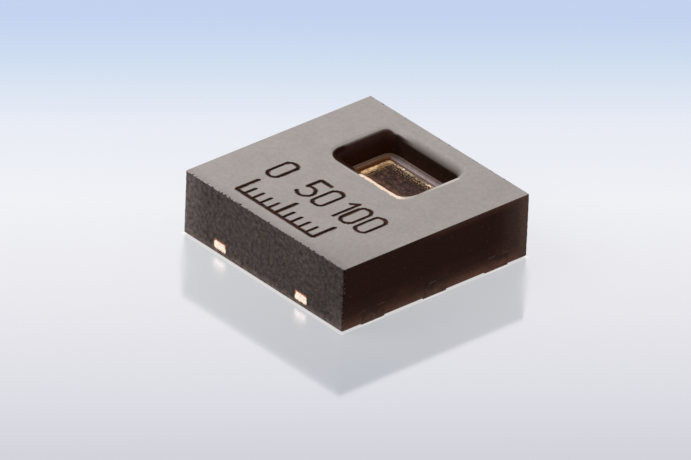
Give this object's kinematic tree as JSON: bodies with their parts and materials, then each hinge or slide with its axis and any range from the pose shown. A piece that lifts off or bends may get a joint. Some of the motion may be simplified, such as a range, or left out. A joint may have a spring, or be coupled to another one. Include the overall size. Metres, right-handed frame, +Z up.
{
  "type": "humidity sensor",
  "caption": "Small square surface-mount humidity sensor with an open window over its sensing layer and solder feet along two sides.",
  "frame": {"origin": "middle of the footprint on the plane the package is soldered to", "axes": "+X along the engraved scale, +Y from the scale towards the window, +Z up out of the top"},
  "size_m": [0.003, 0.003, 0.0009],
  "materials": {
    "moulding_compound": "matt spark-eroded top, darker sawn sides",
    "copper": "sawn and etched copper alloy",
    "solder_finish": "matt tin",
    "silver": "spot-plated silver",
    "adhesive": "filled epoxy",
    "silicon": "ground and sawn silicon",
    "wiring_layers": "oxide with metal tracks",
    "top_coat": "thin clear nitride",
    "aluminium": "sputtered aluminium",
    "gold": "gold",
    "dam_polymer": "cured photoresist",
    "film_polymer": "thin amber polymer",
    "porous_metal": "dark porous metal"
  },
  "bodies": {
    "root": {"housing": "moulding_compound", "die_paddle": "copper", "paddle_finish": "solder_finish", "data_terminal": "copper", "ground_terminal": "copper", "spare_terminal_right": "copper", "spare_terminal_left": "copper", "supply_terminal": "copper", "clock_terminal": "copper", "terminal_finish": "solder_finish", "bond_spots": "silver", "die_attach": "adhesive", "sensor_die": "silicon", "heater_track": "aluminium", "circuit_layer": "wiring_layers", "bond_pads": "aluminium", "passivation": "top_coat", "dam_frame": "dam_polymer", "guard_ring": "gold", "lower_electrodes": "aluminium", "humidity_film": "film_polymer", "upper_electrode": "porous_metal", "data_wire": "gold", "ground_wire": "gold", "supply_wire": "gold", "clock_wire": "gold", "ball_bonds": "gold", "stitch_bonds": "gold"}
  },
  "joints": []
}
